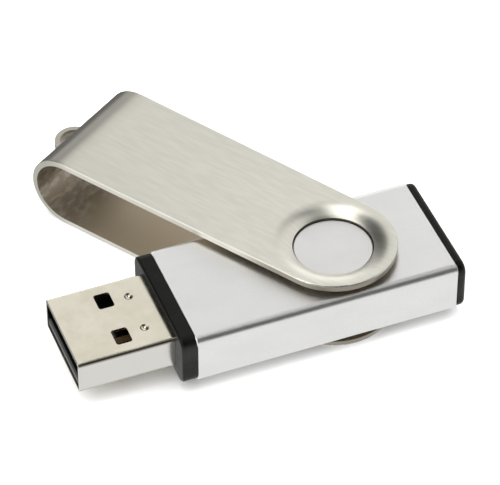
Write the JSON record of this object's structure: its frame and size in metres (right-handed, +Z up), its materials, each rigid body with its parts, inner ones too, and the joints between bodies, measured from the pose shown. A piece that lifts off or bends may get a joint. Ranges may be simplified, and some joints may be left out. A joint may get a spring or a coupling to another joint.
{
  "type": "usb flash drive",
  "caption": "Pocket USB memory stick in an aluminium sleeve with plastic end caps, and a U-shaped steel cover clip that swivels about round pivot discs.",
  "frame": {"origin": "centre of the plug where it leaves the front cap, the plane that meets a socket's face", "axes": "-X out along the plug, +X along the body to the rear cap, +Z up along the clip's pivot axis, out of the face with the pressed dents"},
  "size_m": [0.0486, 0.0462, 0.01],
  "materials": {
    "clip_steel": "fine straight brushing, satin",
    "sleeve_aluminium": "bead blasted and clear anodised, satin",
    "disc_silver": "matte silver",
    "cap_black": "moulded, semi-gloss",
    "shell_nickel": "nickel plated, slightly cloudy",
    "tongue_black": "moulded insulator",
    "contact_gold": "gold plated",
    "holder_plastic": "moulded",
    "board_green": "solder mask",
    "chip_black": "moulded package",
    "lead_tin": "tinned",
    "crystal_can": "drawn can",
    "capacitor_ceramic": "fired ceramic",
    "resistor_black": "glazed film resistor",
    "led_lens": "clear moulded lens"
  },
  "bodies": {
    "drive": {"plug_shell": "shell_nickel", "plug_tongue": "tongue_black", "plug_contacts": "contact_gold", "sleeve": "sleeve_aluminium", "front_cap": "cap_black", "rear_cap": "cap_black", "holder_tray": "holder_plastic", "holder_lid": "holder_plastic", "circuit_board": "board_green", "memory_chip": "chip_black", "memory_leads": "lead_tin", "controller_chip": "chip_black", "controller_leads": "lead_tin", "crystal": "crystal_can", "activity_led": "led_lens", "capacitors": "capacitor_ceramic", "resistors": "resistor_black", "pivot_disc_upper": "disc_silver", "pivot_disc_lower": "disc_silver"},
    "clip": {"swivel_clip": "clip_steel"}
  },
  "joints": [
    {"name": "clip_swivel", "type": "hinge", "parent": "drive", "child": "clip", "pos_m": [0.0225, 0, 0], "axis": [0, 0, 1], "continuous": true}
  ]
}
